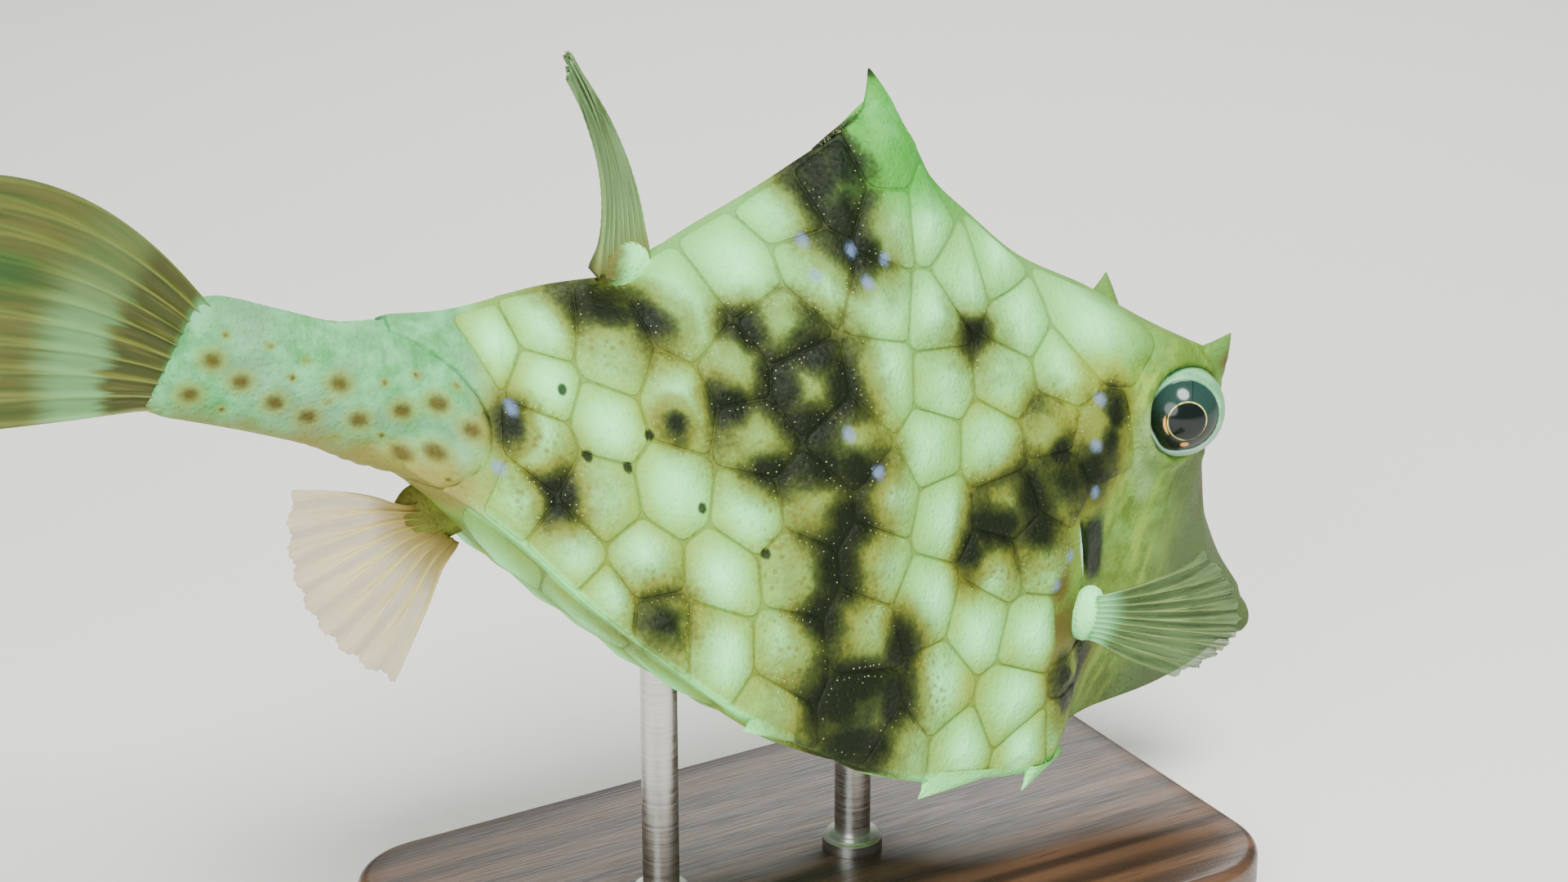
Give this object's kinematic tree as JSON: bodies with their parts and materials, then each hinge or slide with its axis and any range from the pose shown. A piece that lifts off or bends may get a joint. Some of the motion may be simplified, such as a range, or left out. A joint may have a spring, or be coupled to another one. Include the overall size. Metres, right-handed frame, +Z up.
{
  "type": "humpback turretfish model",
  "caption": "Still life-size model of a humpback turretfish: plated shell with a dorsal hump, ridge thorns and ribbed fins, held above a flat base by short rods.",
  "frame": {"origin": "the middle of the stand base's underside", "axes": "+X the way the fish heads, +Y to its left, +Z up"},
  "size_m": [0.1998, 0.0822, 0.1305],
  "materials": {
    "shell": "satin, bony plates under thin skin, pale green with dark seams and blotches",
    "skin": "satin, smooth skin with small brown spots",
    "fin": "satin, thin ribbed web",
    "eye": "wet gloss",
    "stand_wood": "dark stained, satin",
    "stand_metal": "brushed"
  },
  "bodies": {
    "root": {"head": "shell", "lips": "skin", "eye_left": "eye", "eye_right": "eye", "carapace": "shell", "tail_stalk": "skin", "caudal_fin": "fin", "dorsal_fin": "fin", "anal_fin": "fin", "pectoral_fin_left": "fin", "pectoral_fin_right": "fin", "stand_base": "stand_wood", "stand_rod_front": "stand_metal", "stand_rod_rear": "stand_metal"}
  },
  "joints": []
}
